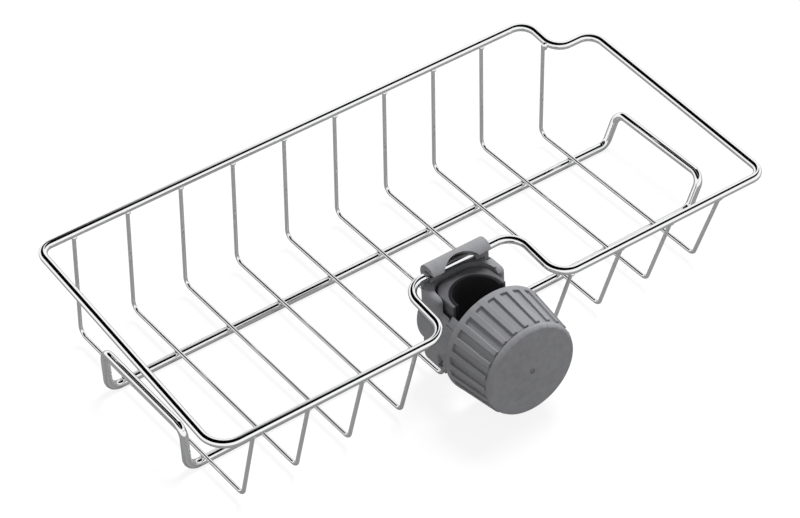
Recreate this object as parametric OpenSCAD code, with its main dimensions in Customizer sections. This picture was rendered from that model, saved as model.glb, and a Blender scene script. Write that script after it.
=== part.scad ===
// Over-the-tap sponge holder: a chromed wire basket with a plastic clamp that grips the spout pipe.
// The pipe runs along Z through the origin, and the knob turns about Y at the same height.

/* [Rim] */
// Length of the basket between the rim wire's centres
rack_length = 250; // [230:1:300]
// Width of the basket between the rim wire's centres, seen from above
rack_width = 121; // [110:1:150]
// Height of the front rim's centre above the table
rim_front_height = 44; // [42:0.5:50]
// Height of the back rim's centre above the table
rim_back_height = 58; // [52:0.5:70]
// Diameter of the rim wire
rim_wire_d = 3.4; // [2.5:0.1:4.5]
// Bend radius at the rim's outer corners
rim_corner_r = 5.5; // [4:0.5:12]
// Bend radius at the rim's front left corner
rim_front_left_r = 9.5; // [4:0.5:16]
// How much further out the rim's right arm ends in front than at the step
rim_right_skew = 5; // [0:0.5:6]
// Distance from the front rim back to the pipe's axis
pipe_setback = 13.9; // [13.5:0.1:15.5]

/* [Notch and step] */
// Distance from the pipe's axis to the left arm of the notch
notch_left = 23.5; // [22:0.5:28]
// Distance from the pipe's axis to the right arm of the notch
notch_right = 28; // [24:0.5:34]
// Bend radius at the notch's corners
notch_corner_r = 8.5; // [5:0.5:10]
// Length of the step in the back right corner
step_length = 21; // [18:0.5:26]
// Depth of the step in the back right corner
step_depth = 20; // [17:0.5:26]
// Bend radius of the step
step_corner_r = 7; // [5:0.5:8]

/* [Cross wires] */
// Diameter of the cross wires
cross_wire_d = 1.6; // [1.4:0.1:2.4]
// Distance from the pipe's axis to the cross wire on its left
clip_wire_x = 13.7; // [13:0.1:14]
// Share of the rim's length from one cross wire to the next
cross_pitch_share = 0.0956; // [0.09:0.0002:0.097]
// Bend radius of the cross wires
cross_bend_r = 3.5; // [2:0.5:5]
// How far the floor ends behind the front rim
floor_front_inset = 14; // [10:0.5:18]
// How far the floor reaches out behind the back rim
floor_back_reach = 3.7; // [1:0.1:8]
// How much each end of the floor draws in from one cross wire to the next
floor_taper = 0.4; // [0:0.05:0.6]
// How far the end wire's floor stops short of the back rim
end_wire_inset = 6.5; // [4:0.5:9]
// Share of the step's bend radius at which the end wire stands
end_wire_place = 0.7; // [0.5:0.1:1.5]
// Length of the turned-up ends that the clamp's clips hold
clip_wire_rise = 8; // [6:0.5:9]
// Gap that stands for the weld between two crossing wires
weld_gap = 0.1; // [0.05:0.05:0.2]
// How far a bend's round reaches into the straight wire beside it
bend_overlap = 0.2; // [0.1:0.05:0.3]

/* [Base frame] */
// Diameter of the base frame's wire
base_wire_d = 3.5; // [2.5:0.1:4.5]
// Distance from the front rim to the base frame's front runner
base_front = 41; // [36:0.5:46]
// Distance between the base frame's two runners
base_width = 53.5; // [46:0.5:60]
// How far the near runner's left end stands forward of its right end
base_left_flare = 2; // [0:0.5:3]
// Distance from the rim's left end to the base frame's left end
base_left_inset = 8.5; // [7:0.5:10]
// Distance from the rim's right end to the base frame's right bend
base_right_inset = 1; // [0:0.5:6]
// How far the right end bar leans out from its bend
base_right_lean = 6.5; // [4:0.5:12]
// Height of the left end bar above the table
base_left_height = 21.5; // [17:0.5:26]
// Height of the right end bar above the table
base_right_height = 15.5; // [14:0.5:26]
// Bend radius of the base frame's ends
base_bend_r = 4.8; // [3.5:0.1:5.5]

/* [Pipe and saddle] */
// Diameter of the largest pipe that fits the saddle
pipe_d = 19; // [16:0.5:19]
// Thickness of the rubber liner
liner_t = 1.1; // [0.8:0.1:1.2]
// Gap where the liner is bonded in the saddle
liner_gap = 0.1; // [0.05:0.05:0.2]
// Wall of the saddle beside the liner
saddle_side_t = 1.6; // [1.4:0.1:2.1]
// Wall of the saddle behind the liner
saddle_back_t = 3.1; // [2.4:0.1:4]
// Height of the saddle's top above the knob's axis
saddle_top = 15.6; // [14:0.1:17]
// Depth of the saddle's bottom below the knob's axis
saddle_bottom = 12.6; // [11:0.2:13]
// How far the saddle's legs reach forward of the pipe's axis
saddle_reach = 1.4; // [1:0.1:4]
// Radius of the saddle's outer corners
saddle_corner_r = 8; // [5:0.5:9]
// Gap between the saddle and the clamp body
saddle_gap = 0.3; // [0.2:0.05:0.4]

/* [Clamp body] */
// Height of the knob's axis above the table
knob_height = 26.3; // [26:0.1:28]
// Outer radius of the slotted stub that the knob screws onto
stub_r = 17.2; // [16.8:0.1:17.6]
// How far the stub's arms reach forward of the pipe's axis
stub_reach = 21.9; // [19:0.1:21.9]
// Thickness of the back plate
plate_t = 3.5; // [3:0.1:5]
// Half width of the housing
housing_half_w = 16.3; // [16:0.1:18]
// How far the housing's front face stands before the pipe's axis
housing_reach = 0.4; // [0:0.1:1]
// Radius of the housing's upright rear corners
housing_corner_r = 6.5; // [4:0.5:7.5]
// Radius of the housing's lower rear edge
housing_foot_r = 6; // [3:0.5:8]
// Height of the hood's top above the knob's axis
hood_h = 17.3; // [16:0.1:18]
// Depth of the hood's top before the plate's front
hood_depth = 9.5; // [7:0.5:11]
// Thickness of the hood's wall
hood_t = 2; // [1.6:0.1:2.2]
// Height above the knob's axis from which the hood stands clear of the saddle
hood_floor = 4; // [0:0.5:8]
// Height of the housing's front face above the knob's axis
front_h = 11; // [10:0.2:12]
// Thickness of the ledge under the saddle
ledge_t = 2.9; // [2:0.1:3.2]
// Room between the pipe and the ledge
ledge_room = 1.4; // [1:0.1:2]
// Gap between the clamp body and the wires that it holds
clip_gap = 0.25; // [0.15:0.05:0.4]
// Distance from the plate's front to the foot of the turned-up wire ends
clip_setback = 8; // [6:0.2:9]
// Height of the round-fronted pocket in each side
pocket_h = 5.4; // [4:0.2:6]
// Length of the side pocket from back to front
pocket_w = 3.2; // [2.4:0.1:3.6]
// Depth of the side pocket into the wall
pocket_t = 2.6; // [1.5:0.1:2.8]

/* [Hook] */
// Wall of the hook that wraps over the rim
hook_wall = 2.7; // [2:0.1:3.2]
// Width of the hook to the left of the pipe's axis
hook_left = 12.6; // [11:0.2:14]
// Width of the hook to the right of the pipe's axis
hook_right = 14.4; // [11:0.2:15]
// Mouth of the hook that snaps over the rim
hook_mouth = 2.8; // [2:0.1:3.2]
// Radius of the arched window in the hook
window_r = 8.3; // [6:0.1:9]
// Sideways place of the window's middle
window_x = 0.4; // [0:0.1:3]
// Slope of the window's cut above the level
window_slope = 50; // [40:1:60]

/* [Knob] */
// Distance from the pipe's axis to the knob's rear rim
knob_setback = 9.6; // [9.5:0.1:11]
// Outer radius at the knob's rear rim
knob_rear_r = 22.8; // [22:0.1:24]
// Outer radius at the seam with the cap
knob_front_r = 20.5; // [19.6:0.1:22]
// Outer radius of the cap
cap_r = 19.8; // [19:0.1:21]
// Length from the rear rim to the seam
knob_length = 21; // [19:0.5:26]
// Number of flutes round the knob
flute_count = 24; // [12:1:30]
// Depth of a flute
flute_depth = 1.1; // [0.6:0.1:1.4]
// Width of a flute
flute_w = 3.2; // [2:0.1:3.4]
// Length of the plain band behind the flutes
flute_stop = 2.6; // [1.5:0.1:4]
// Running clearance between the knob's bore and the stub
thread_gap = 0.3; // [0.2:0.05:0.4]
// Height of the cap's face beyond the seam
cap_height = 3; // [2:0.1:4]
// Thickness of the cap's face
cap_t = 2.4; // [2:0.1:2.8]
// Depth of the cap's spigot in the sleeve
spigot_depth = 3; // [2:0.5:4]
// Wall of the cap's spigot
spigot_t = 1.6; // [1.2:0.1:2]
// Radius of the moulding mark in the middle of the cap
gate_r = 0.9; // [0.5:0.1:1.5]

/* [Pusher] */
// Thickness of the rubber pressure pad
pad_t = 3; // [2:0.2:3.4]
// Distance from the pipe's axis to the pad's face with the knob at rest
pad_setback = 13.4; // [13.2:0.1:13.9]
// Thickness of the pad carrier's plate
carrier_t = 3; // [2.4:0.2:3.4]
// Radius of the carrier's stem
stem_r = 3.6; // [3:0.1:4]
// Radius of the stem's snap head
head_r = 4.6; // [4.4:0.1:5]
// Length of the stem's snap head
head_t = 1.6; // [1.2:0.1:1.8]
// Wall of the cap's socket round the stem
socket_wall = 2.2; // [1.8:0.1:3]
// Depth of the socket's lip that holds the snap head
lip_t = 1.8; // [1.4:0.1:2]
// Running clearance of the stem in its socket
stem_gap = 0.3; // [0.2:0.05:0.4]

/* [Hidden] */
$fn = 64;
overrun = 1;
chrome = [0.80, 0.81, 0.82];
plastic = [0.46, 0.47, 0.49];
rubber = [0.10, 0.10, 0.11];

// Levels and lines, measured from the pipe's axis and the knob's axis
table_z = -knob_height;
front_y = -pipe_setback;
back_y = front_y + rack_width;
left_x = -rack_length / 2;
right_x = rack_length / 2;
rim_front_z = table_z + rim_front_height;
rim_back_z = table_z + rim_back_height;
base_z = table_z + base_wire_d / 2;
floor_z = table_z + base_wire_d + weld_gap + cross_wire_d / 2;
right_front_x = right_x + rim_right_skew / 2;
right_back_x = right_x - rim_right_skew / 2;
step_x = right_x - step_length;
step_y = back_y - step_depth;

// The saddle, built outwards from the pipe
pipe_r = pipe_d / 2;
liner_r = pipe_r + liner_t;
saddle_r = liner_r + liner_gap;
saddle_h = saddle_top + saddle_bottom;
saddle_half_w = saddle_r + saddle_side_t;
saddle_back = saddle_r + saddle_back_t;
slot_half_w = saddle_half_w + saddle_gap;
housing_front = -housing_reach;

// The plate stands behind the saddle, and the notch wire lies over its front face
plate_front = saddle_back + saddle_gap;
plate_back = plate_front + plate_t;
hook_bore_r = rim_wire_d / 2 + clip_gap;
hook_r = hook_bore_r + hook_wall;
notch_y = plate_front;
notch_z = rim_z(notch_y);
ledge_top = -saddle_bottom - saddle_gap;
housing_bottom = ledge_top - ledge_t;

// The turned-up ends lean as the front legs do, and reach up into the housing
leg_dir = unit([0, -floor_front_inset, rim_front_z - floor_z]);
clip_y = plate_front - clip_setback;
clip_numbers = [5, 6];
end_number = 10;
cross_count = 10;
cross_pitch = rack_length * cross_pitch_share;

knob_rear = -knob_setback;
seam_y = knob_rear - knob_length;
cap_front = seam_y - cap_height;
cap_inner = cap_front + cap_t;
bore_r = stub_r + thread_gap;
socket_r = head_r + stem_gap + socket_wall;
pad_front = -pad_setback;
pad_back = pad_front - pad_t;
carrier_back = pad_back - carrier_t;
socket_end = carrier_back - stem_gap;

function unit(v) = v / norm(v);

// Height of the sloping rim's centre at a place from front to back
function rim_z(y) = rim_front_z + (rim_back_z - rim_front_z) * (y - front_y) / rack_width;
function rim_point(x, y) = [x, y, rim_z(y)];
function cross_x(i) = cross_pitch * (i - clip_numbers[0]) - clip_wire_x;
function taper_at(i) = floor_taper * (i - (cross_count + 1) / 2);

// A frame whose third direction is w and whose first lies along u
function frame_of(p, u, w) = let (v = cross(w, u)) [
    [u[0], v[0], w[0], p[0]], [u[1], v[1], w[1], p[1]], [u[2], v[2], w[2], p[2]], [0, 0, 0, 1]];
function side_of(w) = unit(cross(w, abs(w[0]) > abs(w[1]) ? [0, 1, 0] : [1, 0, 0]));

// How far a bend of radius r between two directions reaches along each run
function bend_reach(a, b, r) = r * tan(acos(a * b) / 2);

module run(p, q, d) {
    w = unit(q - p);
    multmatrix(frame_of(p, side_of(w), w)) cylinder(h = norm(q - p), d = d);
}

// Wire thins a little where it is bent, so a bend's ends lie just inside the straight runs.
bend_thin_share = 0.985;

module bend(p, a, b, r, d) {
    toward = unit(b - (b * a) * a);
    start = p - a * bend_reach(a, b, r);
    overlap = bend_overlap / r * 180 / PI;
    multmatrix(frame_of(start + toward * r, -toward, cross(-toward, a)))
        rotate([0, 0, -overlap]) rotate_extrude(angle = acos(a * b) + 2 * overlap)
            translate([r, 0]) circle(d = d * bend_thin_share);
}

// Round wire along a route of straight runs, with a true bend of its own radius at each corner.
// Each corner is [point, radius]; an open route's first and last corners have radius 0.
module wire(corners, d, closed = false) {
    n = len(corners);
    function at(i) = corners[(i + n) % n][0];
    function dir(i) = unit(at(i + 1) - at(i));
    function turned(i) = closed || (i > 0 && i < n - 1);
    function reach(i) = turned(i) ? bend_reach(dir(i - 1), dir(i), corners[(i + n) % n][1]) : 0;
    for (i = [0 : closed ? n - 1 : n - 2])
        run(at(i) + dir(i) * reach(i), at(i + 1) - dir(i) * reach(i + 1), d);
    for (i = [0 : n - 1])
        if (turned(i)) bend(at(i), dir(i - 1), dir(i), corners[i][1], d);
}

module rim_wire() {
    color(chrome) wire([
        [rim_point(left_x, front_y), rim_front_left_r],
        [rim_point(-notch_left, front_y), notch_corner_r],
        [rim_point(-notch_left, notch_y), notch_corner_r],
        [rim_point(notch_right, notch_y), notch_corner_r],
        [rim_point(notch_right, front_y), notch_corner_r],
        [rim_point(right_front_x, front_y), rim_corner_r],
        [rim_point(right_back_x, step_y), step_corner_r],
        [rim_point(step_x, step_y), step_corner_r],
        [rim_point(step_x, back_y), step_corner_r],
        [rim_point(left_x, back_y), rim_corner_r]], rim_wire_d, closed = true);
}

module base_frame_wire() {
    near_y = front_y + base_front;
    far_y = near_y + base_width;
    left = left_x + base_left_inset;
    right = right_x - base_right_inset;
    left_top = table_z + base_left_height;
    right_top = table_z + base_right_height;
    color(chrome) wire([
        [[left, near_y - base_left_flare, base_z], base_bend_r],
        [[right, near_y, base_z], base_bend_r],
        [[right + base_right_lean, near_y, right_top], base_bend_r],
        [[right + base_right_lean, far_y, right_top], base_bend_r],
        [[right, far_y, base_z], base_bend_r],
        [[left, far_y, base_z], base_bend_r],
        [[left, far_y, left_top], base_bend_r],
        [[left, near_y - base_left_flare, left_top], base_bend_r]], base_wire_d, closed = true);
}

// A cross wire rises to the rim from below and ends on its underside. The end wire stands beside the step.
rim_seat = rim_wire_d / 2 + weld_gap;
side_seat = rim_seat + cross_wire_d / 2;

module cross_wire(i) {
    x = cross_x(i);
    at_end = i == end_number;
    clipped = len(search(i, clip_numbers)) > 0;
    back_floor_y = back_y + (at_end ? -end_wire_inset : floor_back_reach - taper_at(i));
    front_floor_y = clipped ? clip_y : front_y + floor_front_inset + taper_at(i);
    back_floor = [x, back_floor_y, floor_z];
    front_floor = [x, front_floor_y, floor_z];
    back_rim = rim_point(x, back_y);
    front_rim = rim_point(x, front_y);
    back_top = at_end ? rim_point(step_x - side_seat, step_y + step_corner_r * end_wire_place)
        : back_rim - unit(back_rim - back_floor) * rim_seat;
    front_top = clipped ? front_floor + leg_dir * clip_wire_rise
        : front_rim - unit(front_rim - front_floor) * rim_seat;
    color(chrome) wire([[back_top, 0], [back_floor, cross_bend_r], [front_floor, cross_bend_r],
        [front_top, 0]], cross_wire_d);
}

// A bar along X from one place to another
module bar_x(x0, x1, y, z, r) {
    translate([x0, y, z]) rotate([0, 90, 0]) cylinder(h = x1 - x0, r = r);
}

// A round post along Y from one place to another
module post_y(y0, y1, r) {
    translate([0, y1, 0]) rotate([90, 0, 0]) cylinder(h = y1 - y0, r = r);
}

module block(lo, hi) {
    translate(lo) cube(hi - lo);
}

// The housing from above: a flat front, and round corners behind
module housing_plan() {
    inner = housing_half_w - housing_corner_r;
    translate([-housing_half_w, housing_front])
        square([2 * housing_half_w, plate_back - housing_corner_r - housing_front]);
    translate([-inner, plate_back - 2 * housing_corner_r])
        square([2 * inner, 2 * housing_corner_r]);
    for (side = [-1, 1])
        translate([side * inner, plate_back - housing_corner_r]) circle(r = housing_corner_r);
}

// The housing from its right side, as depth and height: it rises from the front to the hood
module housing_side() {
    foot_y = plate_back - housing_foot_r;
    hood_front = plate_front - hood_depth;
    polygon([[housing_front - overrun, housing_bottom], [foot_y, housing_bottom],
        [foot_y, housing_bottom + housing_foot_r], [plate_back, housing_bottom + housing_foot_r],
        [plate_back, hood_h], [hood_front + hood_t / 2, hood_h], [hood_front, hood_h - hood_t / 2],
        [hood_front - hood_t, front_h + hood_t], [housing_front, front_h],
        [housing_front - overrun, front_h]]);
    translate([foot_y, housing_bottom + housing_foot_r]) circle(r = housing_foot_r);
}

// The room inside the hood, from above
module hood_room() {
    half_w = housing_half_w - hood_t;
    back = plate_back - hood_t;
    corner_r = housing_corner_r - hood_t;
    translate([-half_w, housing_front - overrun])
        square([2 * half_w, back - corner_r - housing_front + overrun]);
    translate([corner_r - half_w, back - 2 * corner_r])
        square([2 * (half_w - corner_r), 2 * corner_r]);
    for (side = [-1, 1])
        translate([side * (half_w - corner_r), back - corner_r]) circle(r = corner_r);
}

// A pocket in the side wall: flat behind and round in front
module side_pocket() {
    intersection() {
        bar_x(-pocket_t, pocket_t, 0, 0, pocket_w);
        block([-pocket_t, -pocket_w, -pocket_h / 2], [pocket_t, 0, pocket_h / 2]);
    }
}

module clamp_body() {
    color(plastic) difference() {
        union() {
            intersection() {
                translate([0, 0, housing_bottom - overrun])
                    linear_extrude(notch_z - housing_bottom + overrun) housing_plan();
                rotate([90, 0, 90]) translate([0, 0, -housing_half_w - overrun])
                    linear_extrude(2 * (housing_half_w + overrun)) housing_side();
            }
            bar_x(-hook_left, hook_right, notch_y, notch_z, hook_r);
            block([-hook_left, notch_y + hook_bore_r, hood_h - overrun],
                [hook_right, plate_back, notch_z]);
            intersection() {
                post_y(-stub_reach, plate_front + plate_t / 2, stub_r);
                block([-stub_r - overrun, -stub_reach - overrun, housing_bottom],
                    [stub_r + overrun, plate_back, stub_r + overrun]);
            }
        }
        bar_x(-hook_left - overrun, hook_right + overrun, notch_y, notch_z, hook_bore_r);
        block([-hook_left - overrun, notch_y - hook_mouth / 2, notch_z - hook_r],
            [hook_right + overrun, notch_y + hook_mouth / 2, notch_z]);
        block([-slot_half_w, -stub_reach - overrun, ledge_top],
            [slot_half_w, plate_front, notch_z - hook_bore_r]);
        block([-slot_half_w, -stub_reach - overrun, -stub_r - overrun],
            [slot_half_w, housing_front, stub_r + overrun]);
        translate([0, 0, hood_floor]) linear_extrude(hood_h - hood_floor) hood_room();
        translate([0, 0, housing_bottom - overrun])
            cylinder(h = ledge_t + 2 * overrun, r = pipe_r + ledge_room);
        translate([window_x, notch_y - hook_r, notch_z - hook_r])
            rotate([-window_slope, 0, 0]) rotate([90, 0, 0])
                translate([0, 0, -hook_r / 4]) cylinder(h = 3 * hook_r, r = window_r);
        for (i = clip_numbers)
            run([cross_x(i), clip_y, floor_z], [cross_x(i), clip_y, floor_z]
                + leg_dir * (clip_wire_rise + cross_wire_d), cross_wire_d + 2 * clip_gap);
        for (side = [-1, 1])
            translate([side * housing_half_w, housing_front + pocket_w + pocket_t / 2,
                housing_bottom + ledge_t / 2 + pocket_h / 2]) side_pocket();
    }
}

// The saddle's outline from above: square legs in front, round corners behind
module saddle_outline() {
    inner = saddle_half_w - saddle_corner_r;
    translate([-saddle_half_w, -saddle_reach])
        square([2 * saddle_half_w, saddle_reach + saddle_back - saddle_corner_r]);
    translate([-inner, saddle_back - 2 * saddle_corner_r])
        square([2 * inner, 2 * saddle_corner_r]);
    for (side = [-1, 1])
        translate([side * inner, saddle_back - saddle_corner_r]) circle(r = saddle_corner_r);
}

// A U-shaped channel of one radius, open to the front
module channel(r, h) {
    cylinder(h = h, r = r);
    block([-r, -saddle_reach - overrun, 0], [r, 0, h]);
}

module pipe_saddle() {
    color(plastic) translate([0, 0, -saddle_bottom]) difference() {
        linear_extrude(saddle_h) saddle_outline();
        translate([0, 0, -overrun]) channel(saddle_r, saddle_h + 2 * overrun);
    }
}

module saddle_liner() {
    color(rubber) translate([0, 0, -saddle_bottom]) difference() {
        intersection() {
            channel(liner_r, saddle_h);
            block([-2 * liner_r, -saddle_reach, -overrun], [2 * liner_r, 2 * liner_r, saddle_h + overrun]);
        }
        translate([0, 0, -overrun]) channel(pipe_r, saddle_h + 2 * overrun);
    }
}

// A round body about the knob's axis, from points of [radius, distance along Y]
module turned(points) {
    rotate([-90, 0, 0]) rotate_extrude() polygon(points);
}

module knob_sleeve() {
    taper = atan((knob_rear_r - knob_front_r) / knob_length);
    color(plastic) difference() {
        turned([[bore_r, seam_y], [knob_front_r, seam_y], [knob_rear_r, knob_rear - flute_stop / 2],
            [knob_rear_r, knob_rear - flute_stop / 8], [knob_rear_r - flute_stop / 8, knob_rear],
            [bore_r, knob_rear]]);
        for (i = [0 : flute_count - 1])
            rotate([0, 360 / flute_count * (i + 1 / 2), 0])
                translate([0, seam_y, knob_front_r - flute_depth]) rotate([taper, 0, 0])
                    translate([-flute_w / 2, -overrun, 0])
                        cube([flute_w, knob_length + overrun - flute_stop, knob_rear_r]);
    }
}

module knob_cap() {
    shoulder = cap_height / 2;
    color(plastic) difference() {
        union() {
            turned([[0, cap_front], [cap_r - shoulder, cap_front],
                [cap_r - shoulder / 4, cap_front + shoulder / 2],
                [cap_r, cap_front + shoulder], [cap_r, seam_y], [0, seam_y]]);
            turned([[0, seam_y - overrun], [bore_r - stem_gap, seam_y - overrun],
                [bore_r - stem_gap, seam_y + spigot_depth], [0, seam_y + spigot_depth]]);
            turned([[0, seam_y], [socket_r, seam_y], [socket_r, socket_end], [0, socket_end]]);
        }
        turned([[socket_r, cap_inner], [bore_r - stem_gap - spigot_t, cap_inner],
            [bore_r - stem_gap - spigot_t, seam_y + spigot_depth + overrun],
            [socket_r, seam_y + spigot_depth + overrun]]);
        turned([[0, cap_inner], [head_r + stem_gap, cap_inner],
            [head_r + stem_gap, socket_end - lip_t], [stem_r + stem_gap, socket_end - lip_t],
            [stem_r + stem_gap, socket_end + overrun], [0, socket_end + overrun]]);
        turned([[0, cap_front - overrun], [gate_r, cap_front - overrun],
            [gate_r, cap_front], [0, cap_front + gate_r / 2]]);
    }
}

// The carrier slides between the stub's arms, which keep it from turning.
module pad_carrier() {
    key_half_w = slot_half_w - saddle_gap;
    head_front = socket_end - lip_t - stem_gap;
    color(plastic) {
        intersection() {
            post_y(carrier_back, pad_back, stub_r - saddle_gap);
            block([-key_half_w, carrier_back - overrun, -stub_r],
                [key_half_w, pad_back + overrun, stub_r]);
        }
        turned([[0, carrier_back], [stem_r, carrier_back], [stem_r, head_front],
            [head_r, head_front], [stem_r, head_front - head_t], [0, head_front - head_t]]);
    }
}

module pressure_pad() {
    pad_half_w = slot_half_w - 2 * saddle_gap;
    color(rubber) intersection() {
        post_y(pad_back, pad_front, stub_r - 2 * saddle_gap);
        block([-pad_half_w, pad_back - overrun, -stub_r], [pad_half_w, pad_front + overrun, stub_r]);
    }
}

rim_wire();
base_frame_wire();
cross_wire(1);  // cross_wire_01
cross_wire(2);  // cross_wire_02
cross_wire(3);  // cross_wire_03
cross_wire(4);  // cross_wire_04
cross_wire(5);  // cross_wire_05
cross_wire(6);  // cross_wire_06
cross_wire(7);  // cross_wire_07
cross_wire(8);  // cross_wire_08
cross_wire(9);  // cross_wire_09
cross_wire(10);  // cross_wire_10
clamp_body();
pipe_saddle();
saddle_liner();
knob_sleeve();
knob_cap();
pad_carrier();
pressure_pad();
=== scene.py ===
import math

import bmesh
import bpy
from mathutils import Matrix, Vector


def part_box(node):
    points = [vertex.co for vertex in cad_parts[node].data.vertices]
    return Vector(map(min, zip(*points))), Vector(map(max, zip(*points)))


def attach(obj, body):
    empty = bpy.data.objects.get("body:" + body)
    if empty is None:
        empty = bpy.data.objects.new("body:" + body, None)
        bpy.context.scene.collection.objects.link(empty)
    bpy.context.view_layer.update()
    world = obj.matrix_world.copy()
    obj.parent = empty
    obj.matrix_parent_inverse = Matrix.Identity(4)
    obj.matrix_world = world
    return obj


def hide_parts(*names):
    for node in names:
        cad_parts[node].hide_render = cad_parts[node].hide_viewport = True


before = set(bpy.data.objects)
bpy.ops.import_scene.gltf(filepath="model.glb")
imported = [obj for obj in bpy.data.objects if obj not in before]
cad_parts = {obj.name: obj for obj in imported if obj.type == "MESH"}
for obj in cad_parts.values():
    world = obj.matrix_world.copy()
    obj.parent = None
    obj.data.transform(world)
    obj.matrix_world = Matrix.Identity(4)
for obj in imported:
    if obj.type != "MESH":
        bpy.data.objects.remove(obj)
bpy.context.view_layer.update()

# The camera stands in front and to the left of the basket and looks down on it through a long lens. Its
# place and its lens come from the basket's own lines in the photograph. Sizes are named in millimetres, and
# MM makes them metres.
MM = 0.001
CAMERA_PLACE = Vector((-539.0, -768.1, 819.5)) * MM
CAMERA_RIGHT = Vector((0.8131, -0.5804, -0.0453))
CAMERA_FORWARD = Vector((0.4215, 0.6405, -0.6420))
CAMERA_LENS, SENSOR_WIDTH = 149.1, 36
CLIP_NEAR, CLIP_FAR = 50, 50000

camera_data = bpy.data.cameras.new("camera")
camera_data.lens = CAMERA_LENS
camera_data.sensor_width = SENSOR_WIDTH
camera_data.clip_start = CLIP_NEAR * MM
camera_data.clip_end = CLIP_FAR * MM
camera = bpy.data.objects.new("camera", camera_data)
forward = CAMERA_FORWARD.normalized()
right = (CAMERA_RIGHT - CAMERA_RIGHT.dot(forward) * forward).normalized()
up = right.cross(forward)
turned = Matrix((right, up, -forward)).transposed().to_4x4()
camera.matrix_world = Matrix.Translation(CAMERA_PLACE) @ turned
bpy.context.scene.collection.objects.link(camera)
bpy.context.scene.camera = camera
bpy.context.scene.view_settings.view_transform = "Standard"

# The floor is a white sheet that runs out of sight and keeps the object's soft shadow. It glows for diffuse
# rays, which lights the plastic from below. In the chrome it shows a painted shade: it is grey near the
# basket, where the basket shades it, and bright further out.
FLOOR_SIZE = 12000
FLOOR_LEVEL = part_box("base_frame_wire")[0].z
FLOOR_SHADE, FLOOR_GLOW, FLOOR_BOUNCE = 0.14, 0.86, 0.68
FLOOR_NEAR_PAINTED_SHADE, FLOOR_FAR = 0.13, 0.80
SHADED_HALF_X, SHADED_MIDDLE_Y, SHADED_HALF_Y = 170, 45, 100
FADE_START, FADE_END = 20, 250


class Value:
    """What a node's socket gives. A sum on it adds a Math node."""

    def __init__(self, tree, socket=None):
        self.tree, self.socket = tree, socket

    def node(self, kind, settings=(), inputs=(), out=0):
        """A new node of any kind, and what one of its sockets gives."""
        added = self.tree.nodes.new(kind)
        for name, setting in dict(settings).items():
            setattr(added, name, setting)
        set_inputs(added, dict(inputs))
        return Value(self.tree, added.outputs[out])

    def math(self, operation, other=0.0, swapped=False):
        pair = (other, self) if swapped else (self, other)
        return self.node("ShaderNodeMath", {"operation": operation}, dict(enumerate(pair)))

    def __add__(self, other):
        return self.math("ADD", other)

    def __radd__(self, other):
        return self.math("ADD", other, swapped=True)

    def __sub__(self, other):
        return self.math("SUBTRACT", other)

    def __rsub__(self, other):
        return self.math("SUBTRACT", other, swapped=True)

    def __mul__(self, other):
        return self.math("MULTIPLY", other)

    def __rmul__(self, other):
        return self.math("MULTIPLY", other, swapped=True)

    def part(self, axis):
        return self.node("ShaderNodeSeparateXYZ", {}, {0: self}, axis)

    def rise(self, start, end, low=0.0, high=1.0):
        """A smooth step from low to high between two values of this one."""
        return self.node("ShaderNodeMapRange", {"interpolation_type": "SMOOTHSTEP"}, {
            "Value": self, "From Min": start, "From Max": end, "To Min": low, "To Max": high})

    def noise(self, scale, detail=2.0):
        return self.node("ShaderNodeTexNoise", {}, {"Vector": self, "Scale": scale, "Detail": detail})

    def mixed(self, first, second):
        """A mix of two colours by this value."""
        return self.node("ShaderNodeMix", {"data_type": "RGBA"}, {
            0: self, 6: (*first, 1), 7: (*second, 1)}, 2)

    def bump(self, depth, strength):
        return self.node("ShaderNodeBump", {}, {"Height": self, "Distance": depth * MM, "Strength": strength})


def set_inputs(node, inputs):
    """Gives each input of a node a plain value or what another node gives."""
    for name, value in inputs.items():
        if isinstance(value, Value):
            value.tree.links.new(value.socket, node.inputs[name])
        else:
            node.inputs[name].default_value = value


def ray_is(tree, kind):
    return Value(tree).node("ShaderNodeLightPath", out="Is %s Ray" % kind)


def finish_named(name):
    """A new material, its Object coordinates, and the node of its Principled shader."""
    material = bpy.data.materials.new(name)
    material.use_nodes = True
    tree = material.node_tree
    return material, Value(tree).node("ShaderNodeTexCoord", out="Object"), tree.nodes["Principled BSDF"]


bpy.ops.mesh.primitive_plane_add(size=FLOOR_SIZE * MM, location=(0, 0, FLOOR_LEVEL))
floor = bpy.context.object
floor.name = "floor"
white_sheet, place, shader = finish_named("white sheet")
across = (place.part("X").math("ABSOLUTE") - SHADED_HALF_X * MM).math("MAXIMUM", 0.0)
along = ((place.part("Y") - SHADED_MIDDLE_Y * MM).math("ABSOLUTE") - SHADED_HALF_Y * MM).math("MAXIMUM", 0.0)
away = (across * across + along * along).math("SQRT")
# Painted shade: mirrored rays see the floor grey near the basket, fading to bright further out.
mirrored_floor_painted_shade = away.rise(FADE_START * MM, FADE_END * MM, FLOOR_NEAR_PAINTED_SHADE, FLOOR_FAR)
seen, mirrored, bounced = (ray_is(place.tree, kind) for kind in ("Camera", "Glossy", "Diffuse"))
set_inputs(shader, {
    "Base Color": (FLOOR_SHADE, FLOOR_SHADE, FLOOR_SHADE, 1),
    "Roughness": 1.0,
    "Specular IOR Level": 0.0,
    "Emission Color": (1, 1, 1, 1),
    "Emission Strength": seen * FLOOR_GLOW + mirrored * mirrored_floor_painted_shade + bounced * FLOOR_BOUNCE})
floor.data.materials.append(white_sheet)

# The light is an even white room and one soft lamp high on the right. Mirrored rays also see a round dark
# panel overhead, which gives each polished wire one dark line that runs on round the bends. The panel lacks
# its far right corner, so that wires which run across the view keep a bright upper edge.
ROOM_LIGHT = 0.47
PANEL_TOWARD = Vector((0.0, 0.16, 0.987))
PANEL_EDGE, PANEL_SOFT = 54, 2.5
CORNER_X, CORNER_Y, CORNER_SOFT = 0.38, 0.25, 0.05
LAMP_METRES, LAMP_ACROSS_METRES, LAMP_WATTS = Vector((0.9, 0.35, 1.9)), 1.0, 50

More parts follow.
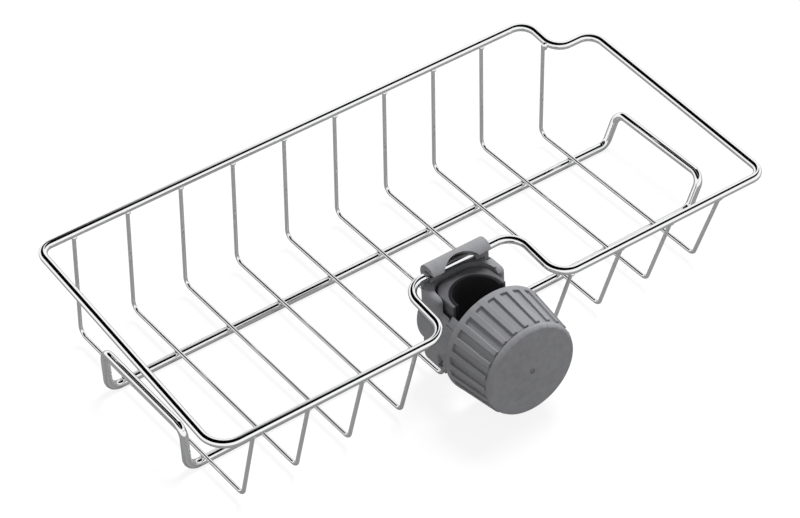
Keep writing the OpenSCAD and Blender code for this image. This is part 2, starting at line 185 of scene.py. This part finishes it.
world = bpy.data.worlds.new("studio")
bpy.context.scene.world = world
world.use_nodes = True
tree = world.node_tree
toward = Value(tree).node("ShaderNodeTexCoord", out="Generated")
overhead = toward.node("ShaderNodeVectorMath", {"operation": "DOT_PRODUCT"}, {
    0: toward, 1: PANEL_TOWARD.normalized()}, "Value")
outer, inner = (math.cos(math.radians(PANEL_EDGE + soft)) for soft in (PANEL_SOFT, -PANEL_SOFT))
panel = overhead.rise(outer, inner)
to_right, to_back = (toward.part(axis).rise(start - CORNER_SOFT, start + CORNER_SOFT)
                     for axis, start in (("X", CORNER_X), ("Y", CORNER_Y)))
seen, mirrored = (ray_is(tree, kind) for kind in ("Camera", "Glossy"))
room = ROOM_LIGHT + (seen + mirrored) * (1 - ROOM_LIGHT) - mirrored * panel * (1 - to_right * to_back)
set_inputs(tree.nodes["Background"], {"Color": (1, 1, 1, 1), "Strength": room})

lamp_data = bpy.data.lights.new("key", "AREA")
lamp_data.shape = "DISK"
lamp_data.size = LAMP_ACROSS_METRES
lamp_data.energy = LAMP_WATTS
lamp = bpy.data.objects.new("key", lamp_data)
facing_origin = LAMP_METRES.to_track_quat("Z", "Y").to_matrix().to_4x4()
lamp.matrix_world = Matrix.Translation(LAMP_METRES) @ facing_origin
lamp.visible_glossy = False
bpy.context.scene.collection.objects.link(lamp)

# The rim is one loop of thick steel wire, bent with a notch for the tap and a small step, butt welded and
# then polished and chrome plated. It slopes down to the front, and its right arm runs a little out of square.
RIM_WIRE = 3.4
TABLE = -26.3
LEFT, RIGHT, RIGHT_SKEW = -125, 125, 2.5
FRONT, BACK = -13.9, 107.1
RIM_FRONT_Z, RIM_RISE = TABLE + 44, 14
NOTCH_LEFT, NOTCH_RIGHT, NOTCH_Y = -23.5, 28, 14.1
STEP_X, STEP_Y = 104, 87.1
FRONT_LEFT_R, CORNER_R, NOTCH_R, STEP_R = 9.5, 5.5, 8.5, 7
BEND_DEGREES, CREASE_DEGREES = 7, 50
ROUND_OF_WIRE = 6
CHROME_DARK, CHROME_LIGHT = (0.90, 0.905, 0.91), (0.95, 0.95, 0.955)
CLOUD_SCALE, SMEAR_SCALE, RIPPLE_SCALE = 60, 180, 420
POLISH, SMEARED = 0.03, 0.04
RIPPLE_DEPTH, RIPPLE_STRENGTH = 0.02, 0.3

chrome, place, shader = finish_named("polished chrome")
set_inputs(shader, {
    "Base Color": place.noise(CLOUD_SCALE).mixed(CHROME_DARK, CHROME_LIGHT),
    "Metallic": 1.0,
    "Roughness": POLISH + place.noise(SMEAR_SCALE, detail=3.0) * SMEARED,
    "Normal": place.noise(RIPPLE_SCALE).bump(RIPPLE_DEPTH, RIPPLE_STRENGTH)})


def rounded(corners):
    """The points of a route of straight runs, with a round bend of its own radius at each corner."""
    route = []
    for i, (corner, radius) in enumerate(corners):
        corner = Vector(corner)
        if radius == 0:
            route.append(corner)
            continue
        before = (corner - Vector(corners[i - 1][0])).normalized()
        after = (Vector(corners[(i + 1) % len(corners)][0]) - corner).normalized()
        turn = before.angle(after)
        centre = corner + (after - before).normalized() * radius / math.cos(turn / 2)
        start = corner - before * radius * math.tan(turn / 2) - centre
        steps = max(3, math.ceil(math.degrees(turn) / BEND_DEGREES))
        axis = before.cross(after)
        route += [centre + Matrix.Rotation(turn * j / steps, 3, axis) @ start for j in range(steps + 1)]
    return route


def drawn_wire(name, node, corners, thickness, closed=False):
    """A bent wire of one smooth surface, which stands for its node."""
    curve = bpy.data.curves.new(name, "CURVE")
    curve.dimensions = "3D"
    curve.bevel_depth = thickness / 2 * MM
    curve.bevel_resolution = ROUND_OF_WIRE
    curve.use_fill_caps = not closed
    route = rounded(corners)
    spline = curve.splines.new("POLY")
    spline.points.add(len(route) - 1)
    for point, corner in zip(spline.points, route):
        point.co = (*(corner * MM), 1)
    spline.use_cyclic_u = closed
    holder = bpy.data.objects.new(name, curve)
    mesh = bpy.data.meshes.new_from_object(holder)
    bpy.data.objects.remove(holder)
    bpy.data.curves.remove(curve)
    mesh.shade_smooth()
    mesh.set_sharp_from_angle(angle=math.radians(CREASE_DEGREES))
    mesh.materials.clear()
    mesh.materials.append(chrome)
    piece = bpy.data.objects.new(name, mesh)
    bpy.context.scene.collection.objects.link(piece)
    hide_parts(node)
    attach(piece, "rack")


def on_rim(x, y):
    """The point of the rim's sloping plane over a place on the table."""
    return Vector((x, y, RIM_FRONT_Z + RIM_RISE * (y - FRONT) / (BACK - FRONT)))


drawn_wire("rim_bent_wire", "rim_wire", [(on_rim(x, y), radius) for x, y, radius in (
    (LEFT, FRONT, FRONT_LEFT_R), (NOTCH_LEFT, FRONT, NOTCH_R), (NOTCH_LEFT, NOTCH_Y, NOTCH_R),
    (NOTCH_RIGHT, NOTCH_Y, NOTCH_R), (NOTCH_RIGHT, FRONT, NOTCH_R), (RIGHT + RIGHT_SKEW, FRONT, CORNER_R),
    (RIGHT - RIGHT_SKEW, STEP_Y, STEP_R), (STEP_X, STEP_Y, STEP_R), (STEP_X, BACK, STEP_R),
    (LEFT, BACK, CORNER_R))], RIM_WIRE, closed=True)

# The base frame is one loop of the same chromed wire, bent up at both ends into a bar and welded under the
# cross wires. Its two runners are what the basket stands on.
BASE_WIRE, BASE_BEND = 3.5, 4.8
BASE_LEFT, BASE_RIGHT, BASE_LEAN = -116.5, 124, 6.5
NEAR_LEFT_Y, NEAR_Y, FAR_Y = 25.1, 27.1, 80.6
RUNNER_Z, LEFT_BAR_Z, RIGHT_BAR_Z = TABLE + BASE_WIRE / 2, TABLE + 21.5, TABLE + 15.5

drawn_wire("base_bent_wire", "base_frame_wire", [(corner, BASE_BEND) for corner in (
    (BASE_LEFT, NEAR_LEFT_Y, RUNNER_Z), (BASE_RIGHT, NEAR_Y, RUNNER_Z),
    (BASE_RIGHT + BASE_LEAN, NEAR_Y, RIGHT_BAR_Z), (BASE_RIGHT + BASE_LEAN, FAR_Y, RIGHT_BAR_Z),
    (BASE_RIGHT, FAR_Y, RUNNER_Z), (BASE_LEFT, FAR_Y, RUNNER_Z),
    (BASE_LEFT, FAR_Y, LEFT_BAR_Z), (BASE_LEFT, NEAR_LEFT_Y, LEFT_BAR_Z))], BASE_WIRE, closed=True)

# Ten thin chromed wires make the back wall, the floor and the front legs. Each is cut to length, bent twice
# and welded to the rim and to both runners. The fifth and sixth end in front in the clamp's clips.
CROSS_WIRE, CROSS_BEND, WELD_GAP = 1.6, 3.5, 0.1
WIRES, CLAMPED = 10, (5, 6)
PITCH, FIFTH_X = 23.9, -13.7
FLOOR_Z = TABLE + BASE_WIRE + WELD_GAP + CROSS_WIRE / 2
BACK_REACH, FRONT_INSET, TAPER = 3.7, 14, 0.4
CLAMPED_Y, CLAMPED_RISE = 6.1, 8
LAST_INSET, LAST_BEHIND_STEP = 6.5, 4.9
BEAD_SINK, LAST_BEAD_SHIFT = 0.3, Vector((0.8, 0, -0.6))

welds = []
for i in range(1, WIRES + 1):
    x = FIFTH_X + PITCH * (i - 5)
    taper = TAPER * (i - (WIRES + 1) / 2)
    back = Vector((x, BACK + (-LAST_INSET if i == WIRES else BACK_REACH - taper), FLOOR_Z))
    front = Vector((x, CLAMPED_Y if i in CLAMPED else FRONT + FRONT_INSET + taper, FLOOR_Z))
    if i == WIRES:
        back_top = on_rim(STEP_X - RIM_WIRE / 2 - CROSS_WIRE / 2, STEP_Y + LAST_BEHIND_STEP)
        welds.append((back_top + LAST_BEAD_SHIFT, "step"))
    else:
        inward = (on_rim(x, BACK) - back).normalized()
        back_top = on_rim(x, BACK) - inward * RIM_WIRE / 2
        welds.append((back_top - inward * BEAD_SINK, "rim"))
    if i in CLAMPED:
        front_top = front + Vector((0, -FRONT_INSET, RIM_FRONT_Z - FLOOR_Z)).normalized() * CLAMPED_RISE
    else:
        inward = (on_rim(x, FRONT) - front).normalized()
        front_top = on_rim(x, FRONT) - inward * RIM_WIRE / 2
        welds.append((front_top - inward * BEAD_SINK, "rim"))
    near_y = NEAR_LEFT_Y + (NEAR_Y - NEAR_LEFT_Y) * (x - BASE_LEFT) / (BASE_RIGHT - BASE_LEFT)
    for runner_y in (near_y, FAR_Y):
        welds.append((Vector((x, runner_y, TABLE + BASE_WIRE)), "runner"))
    drawn_wire("cross_bent_wire_%02d" % i, "cross_wire_%02d" % i,
               [(back_top, 0), (back, CROSS_BEND), (front, CROSS_BEND), (front_top, 0)], CROSS_WIRE)

# The wires are resistance welded where they cross. Each joint leaves a small smooth bead of steel, which is
# chrome plated with the rest.
BEAD_RADII = {"rim": (1.25, 1.5, 1.0), "step": (1.3, 1.3, 1.9), "runner": (1.35, 1.6, 0.65)}

bm = bmesh.new()
for joint, kind in welds:
    ball = bmesh.ops.create_icosphere(bm, subdivisions=3, radius=1.0)
    sized = Matrix.Diagonal((*(radius * MM for radius in BEAD_RADII[kind]), 1))
    bmesh.ops.transform(bm, verts=ball["verts"], matrix=Matrix.Translation(joint * MM) @ sized)
mesh = bpy.data.meshes.new("weld_beads")
bm.to_mesh(mesh)
bm.free()
mesh.shade_smooth()
mesh.materials.append(chrome)
beads = bpy.data.objects.new("weld_beads", mesh)
bpy.context.scene.collection.objects.link(beads)
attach(beads, "rack")

# The clamp body is one moulding in satin grey plastic, with painted sheen in its colour: light and dark
# blotches and streaks along Y. The same streaks vary its gloss. Its hook snaps over the notch wire, its
# housing holds the saddle, and the knob screws onto its slotted stub.
SHELL_HALF_W, SHELL_BACK, SHELL_CORNER, SHELL_EDGE = 16.3, 17.6, 6.5, 0.2
SADDLE_HALF_W, SADDLE_BACK, SADDLE_CORNER = 12.3, 13.8, 8
SADDLE_ROOM, SADDLE_ROOM_RIGHT = 1.1, 0.2
GREY_DARK, GREY_LIGHT = (0.165, 0.166, 0.176), (0.325, 0.327, 0.343)
GRAIN_SCALE, GRAIN_DEPTH, GRAIN_STRENGTH = 2600, 0.03, 0.6
BLOTCH_SCALE, BLOTCH_SHARE = 35, 0.35
STREAKS = (420, 45, 420)
SATIN, GRAIN_ROUGH, STREAK_ROUGH, SATIN_SPECULAR = 0.28, 0.10, 0.14, 0.45
MERGE_FIRST, MERGE_LAST = 0.001, 0.002
FLAT_DEGREES, EDGE_DEGREES, SHADE_DEGREES = 1, 35, 40
EDGE_STEPS, CORNER_STEPS, BAR_FACETS = 3, 12, 96
OVERRUN = 1


def satin(name, darker, lighter):
    """A satin plastic with a fine grain, streaks along Y in its gloss, and painted sheen in its colour."""
    plastic, place, shader = finish_named(name)
    grain = place.noise(GRAIN_SCALE)
    stretched = place.node("ShaderNodeVectorMath", {"operation": "MULTIPLY"}, {0: place, 1: STREAKS})
    streak_and_painted_sheen = stretched.noise(1.0, detail=3.0)
    # The colour's blotches and streaks are painted sheen; the streaks also vary the roughness.
    painted_sheen = place.noise(BLOTCH_SCALE) * BLOTCH_SHARE + streak_and_painted_sheen * (1 - BLOTCH_SHARE)
    set_inputs(shader, {
        "Base Color": painted_sheen.mixed(darker, lighter),
        "Roughness": SATIN + grain * GRAIN_ROUGH + streak_and_painted_sheen * STREAK_ROUGH,
        "Specular IOR Level": SATIN_SPECULAR,
        "Normal": grain.bump(GRAIN_DEPTH, GRAIN_STRENGTH)})
    return plastic


grey_plastic = satin("satin grey plastic", GREY_DARK, GREY_LIGHT)


def copy_of(node):
    """A node's mesh in a bmesh, with its loose triangles merged."""
    bm = bmesh.new()
    bm.from_mesh(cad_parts[node].data)
    bmesh.ops.remove_doubles(bm, verts=bm.verts, dist=MERGE_FIRST * MM)
    return bm


def holder_of(bm):
    """A passing object with the shape of a bmesh, which it uses up."""
    mesh = bpy.data.meshes.new("holder")
    bm.to_mesh(mesh)
    bm.free()
    holder = bpy.data.objects.new("holder", mesh)
    bpy.context.scene.collection.objects.link(holder)
    return holder


def combined(bm, others):
    """A shape with others joined to it or cut from it, each given as (operation, bmesh)."""
    base = holder_of(bm)
    holders = [base]
    for operation, other in others:
        holders.append(holder_of(other))
        change = base.modifiers.new(operation, "BOOLEAN")
        change.operation = operation
        change.solver = "EXACT"
        change.object = holders[-1]
    mesh = bpy.data.meshes.new_from_object(base.evaluated_get(bpy.context.evaluated_depsgraph_get()))
    result = bmesh.new()
    result.from_mesh(mesh)
    bpy.data.meshes.remove(mesh)
    for holder in holders:
        data = holder.data
        bpy.data.objects.remove(holder)
        bpy.data.meshes.remove(data)
    return result


def round_off(bm, edges, radius, steps, loop_slide=False):
    bmesh.ops.bevel(bm, geom=edges, offset=radius * MM, offset_type="OFFSET", affect="EDGES", segments=steps,
                    profile=0.5, material=-1, clamp_overlap=False, loop_slide=loop_slide)


def is_inside(place, box):
    return all(low * MM < value < high * MM for value, (low, high) in zip(place, box))


def moulded(bm, node, name, body, radius, material=grey_plastic, plain=None):
    """A piece with its sharp edges rounded, except in the plain box. It stands for its node."""
    bmesh.ops.remove_doubles(bm, verts=bm.verts, dist=MERGE_LAST * MM)
    bmesh.ops.dissolve_limit(bm, angle_limit=math.radians(FLAT_DEGREES), verts=bm.verts, edges=bm.edges)
    bend = math.radians(EDGE_DEGREES)
    sharp = [e for e in bm.edges if len(e.link_faces) == 2 and e.calc_face_angle() > bend]
    if plain:
        sharp = [e for e in sharp if not any(is_inside(v.co, plain) for v in e.verts)]
    round_off(bm, sharp, radius, EDGE_STEPS, loop_slide=True)
    bmesh.ops.triangulate(bm, faces=[f for f in bm.faces if len(f.verts) > 4])
    mesh = bpy.data.meshes.new(name)
    bm.to_mesh(mesh)
    bm.free()
    mesh.shade_smooth()
    mesh.set_sharp_from_angle(angle=math.radians(SHADE_DEGREES))
    mesh.materials.append(material)
    piece = bpy.data.objects.new(name, mesh)
    bpy.context.scene.collection.objects.link(piece)
    even = piece.modifiers.new("even normals", "WEIGHTED_NORMAL")
    even.keep_sharp = True
    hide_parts(node)
    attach(piece, body)


def upright_edges(bm, front_y, back_y):
    """The edges along Z that stand between two places in Y."""
    return [e for e in bm.edges if abs(e.verts[0].co.z - e.verts[1].co.z) > MM
            and front_y * MM < e.verts[0].co.y < back_y * MM]


def block(half_w, front_y, back_y, low, high, corner_r=0.5):
    """An upright block, flat in front and with round corners behind."""
    bm = bmesh.new()
    bmesh.ops.create_cube(bm, size=1.0)
    bmesh.ops.scale(bm, vec=(2 * half_w * MM, (back_y - front_y) * MM, (high - low) * MM), verts=bm.verts)
    middle = Vector((0, (back_y + front_y) / 2, (high + low) / 2))
    bmesh.ops.translate(bm, vec=middle * MM, verts=bm.verts)
    round_off(bm, upright_edges(bm, front_y + OVERRUN, back_y + OVERRUN), corner_r, CORNER_STEPS)
    return bm


def round_bar(radius, depth, place, facets=BAR_FACETS):
    """A round bar along Z, put in its place by a matrix."""
    bm = bmesh.new()
    bmesh.ops.create_cone(bm, cap_ends=True, segments=facets, radius1=radius * MM, radius2=radius * MM,
                          depth=depth * MM)
    bmesh.ops.transform(bm, verts=bm.verts, matrix=place)
    return bm


def disc(radius, front_y, back_y):
    """A round block whose axis runs along Y."""
    middle = Matrix.Translation(Vector((0, (back_y + front_y) / 2, 0)) * MM)
    return round_bar(radius, back_y - front_y, middle @ Matrix.Rotation(math.radians(90), 4, "X"))


# The band of the hood fills the housing up to a narrow gap round the saddle. Its outer edge is well rounded.
BAND_TOP, BAND_FOOT, BAND_FRONT = 17.3, 5.0, 3.4
BAND_ROUND, BAND_ROUND_STEPS = 2.4, 6
BAND_FRONT_ROUND, BAND_FRONT_STEPS = 2.6, 8
HOLLOW_FRONT, WITHIN = -3, 0.1
band = block(SHELL_HALF_W, BAND_FRONT, SHELL_BACK, BAND_FOOT, BAND_TOP, SHELL_CORNER)
front_edges = upright_edges(band, BAND_FRONT - WITHIN, BAND_FRONT + WITHIN)
round_off(band, front_edges, BAND_FRONT_ROUND, BAND_FRONT_STEPS)
top_edges = [e for e in band.edges if min(v.co.z for v in e.verts) > (BAND_TOP - WITHIN) * MM]
round_off(band, top_edges, BAND_ROUND, BAND_ROUND_STEPS)
hollow = block(SADDLE_HALF_W + (SADDLE_ROOM + SADDLE_ROOM_RIGHT) / 2, HOLLOW_FRONT, SADDLE_BACK + SADDLE_ROOM,
               BAND_FOOT - OVERRUN, BAND_TOP + OVERRUN, SADDLE_CORNER + SADDLE_ROOM)
aside = Vector(((SADDLE_ROOM_RIGHT - SADDLE_ROOM) / 2, 0, 0))
bmesh.ops.translate(hollow, vec=aside * MM, verts=hollow.verts)

# The stub's two arms are parts of a round tube, and their roots run back through the housing.
STUB_R, SLOT_HALF_W, ROOT_FRONT, ROOT_BACK = 17.2, 12.6, -0.8, 14.5
CUT_FRONT, CUT_REACH, OVERLAP = -4, 20, 0.5
slot = block(SLOT_HALF_W, CUT_FRONT, CUT_REACH, -CUT_REACH, CUT_REACH)
below = block(CUT_REACH, CUT_FRONT, CUT_REACH, -CUT_REACH, BAND_FOOT - OVERLAP)
roots = combined(disc(STUB_R, ROOT_FRONT, ROOT_BACK), [
    ("DIFFERENCE", slot), ("DIFFERENCE", below), ("DIFFERENCE", hollow.copy())])

# The hook's front edge ends just above the wire, and an arched window in it shows the wire. Edges in the
# joined zone, where these shapes meet the moulding, aren't rounded again.
PLATE_Y = NOTCH_Y
LIP_FRONT, LIP_BACK, LIP_TOP = 6.0, PLATE_Y - 2, on_rim(0, PLATE_Y).z + 1.85
HOUSING_FRONT, HOOD_BACK, JOIN = -0.45, PLATE_Y - 0.2, 0.01
WINDOW_PLACE, WINDOW_TILT, WINDOW_AHEAD = Vector((0.5, 9.1, 15.9)), 40, 5.8
WINDOW_R, WINDOW_DEPTH, WINDOW_FACETS = 9.5, 14, 64
JOINED_X, JOINED_Y, JOINED_Z = (-20, 20), (-1.5, 18.2), (-13, BAND_TOP + 0.3)
lip = block(CUT_REACH, LIP_FRONT, LIP_BACK, BAND_TOP + JOIN, LIP_TOP)
plain_hood = block(CUT_REACH, HOUSING_FRONT, HOOD_BACK, BAND_FOOT + OVERLAP, BAND_TOP + JOIN)
tilted = Matrix.Translation(WINDOW_PLACE * MM) @ Matrix.Rotation(math.radians(WINDOW_TILT), 4, "X")
ahead = Matrix.Translation(Vector((0, 0, WINDOW_AHEAD)) * MM)
window = round_bar(WINDOW_R, WINDOW_DEPTH, tilted @ ahead, WINDOW_FACETS)
shell = combined(copy_of("clamp_body"), [
    ("DIFFERENCE", plain_hood), ("DIFFERENCE", lip), ("UNION", combined(band, [("DIFFERENCE", hollow)])),
    ("UNION", roots), ("DIFFERENCE", window)])
moulded(shell, "clamp_body", "clamp_shell", "rack", SHELL_EDGE, plain=(JOINED_X, JOINED_Y, JOINED_Z))

# The saddle is a U-shaped moulded insert. It drops into the housing from above and takes the spout pipe.
# It is coloured darker than the shell, which paints the shade that falls in the recess under the hook.
SADDLE_EDGE = 0.5
# Painted shade: the saddle's grey is about half as bright as the shell's.
SHADED_SADDLE_GREY, SHADED_SADDLE_GREY_LIGHT = (0.080, 0.081, 0.087), (0.150, 0.151, 0.159)
painted_shade_plastic = satin("grey plastic with painted shade", SHADED_SADDLE_GREY, SHADED_SADDLE_GREY_LIGHT)
moulded(copy_of("pipe_saddle"), "pipe_saddle", "saddle_shell", "rack", SADDLE_EDGE, painted_shade_plastic)

# The knob's sleeve is a slightly tapered, fluted ring of the clamp's grey plastic. It is moulded in one
# piece and screws onto the stub.
SLEEVE_EDGE = 0.3
moulded(copy_of("knob_sleeve"), "knob_sleeve", "knob_ring", "knob", SLEEVE_EDGE)

# The cap is a round plate of the same plastic, pressed into the sleeve with a shadow groove between the two.
# It is moulded through a pin gate in the middle of its face, which leaves a small pip in a round recess.
CAP_FACE_Y, SEAM_Y, CAP_EDGE = -33.6, -30.6, 0.15
GROOVE_AHEAD, GROOVE_BEHIND, GROOVE_OUTER_R, GROOVE_INNER_R = 0.35, 0.3, 22, 18.6
CORE_HALF = 2
GATE_R, GATE_DEPTH, PIP_R, PIP_SINK = 1.1, 0.5, 0.5, 0.15
core = disc(GROOVE_INNER_R, SEAM_Y - CORE_HALF, SEAM_Y + CORE_HALF)
groove = combined(disc(GROOVE_OUTER_R, SEAM_Y - GROOVE_AHEAD, SEAM_Y + GROOVE_BEHIND), [("DIFFERENCE", core)])
pip = disc(PIP_R, CAP_FACE_Y + PIP_SINK, CAP_FACE_Y + OVERRUN)
recess = combined(disc(GATE_R, CAP_FACE_Y - OVERRUN, CAP_FACE_Y + GATE_DEPTH), [("DIFFERENCE", pip)])
cap = combined(copy_of("knob_cap"), [("DIFFERENCE", groove), ("DIFFERENCE", recess)])
moulded(cap, "knob_cap", "knob_face", "knob", CAP_EDGE)

# The carrier is a small keyed plate of the same grey plastic. It slides between the stub's arms on the end
# of the knob's stem, so that the pad moves without turning.
CARRIER_EDGE = 0.3
moulded(copy_of("pad_carrier"), "pad_carrier", "carrier_plate", "pusher", CARRIER_EDGE)

# The saddle's lining is a strip of matt black rubber, pressed into the saddle so that the pipe doesn't slip.
# The pad on the carrier is of the same rubber, glued on, and bears on the pipe from the front.
RUBBER_DARK, RUBBER_LIGHT = (0.010, 0.010, 0.012), (0.020, 0.020, 0.023)
PATCH_SCALE, DUST_SCALE, PORE_SCALE = 90, 900, 1800
MATT, DUST_ROUGH = 0.75, 0.15
PORE_DEPTH, PORE_STRENGTH = 0.04, 0.5

rubber, place, shader = finish_named("black rubber")
set_inputs(shader, {
    "Base Color": place.noise(PATCH_SCALE).mixed(RUBBER_DARK, RUBBER_LIGHT),
    "Roughness": MATT + place.noise(DUST_SCALE) * DUST_ROUGH,
    "Normal": place.noise(PORE_SCALE).bump(PORE_DEPTH, PORE_STRENGTH)})
for node in ("saddle_liner", "pressure_pad"):
    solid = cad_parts[node]
    solid.data.materials.clear()
    solid.data.materials.append(rubber)
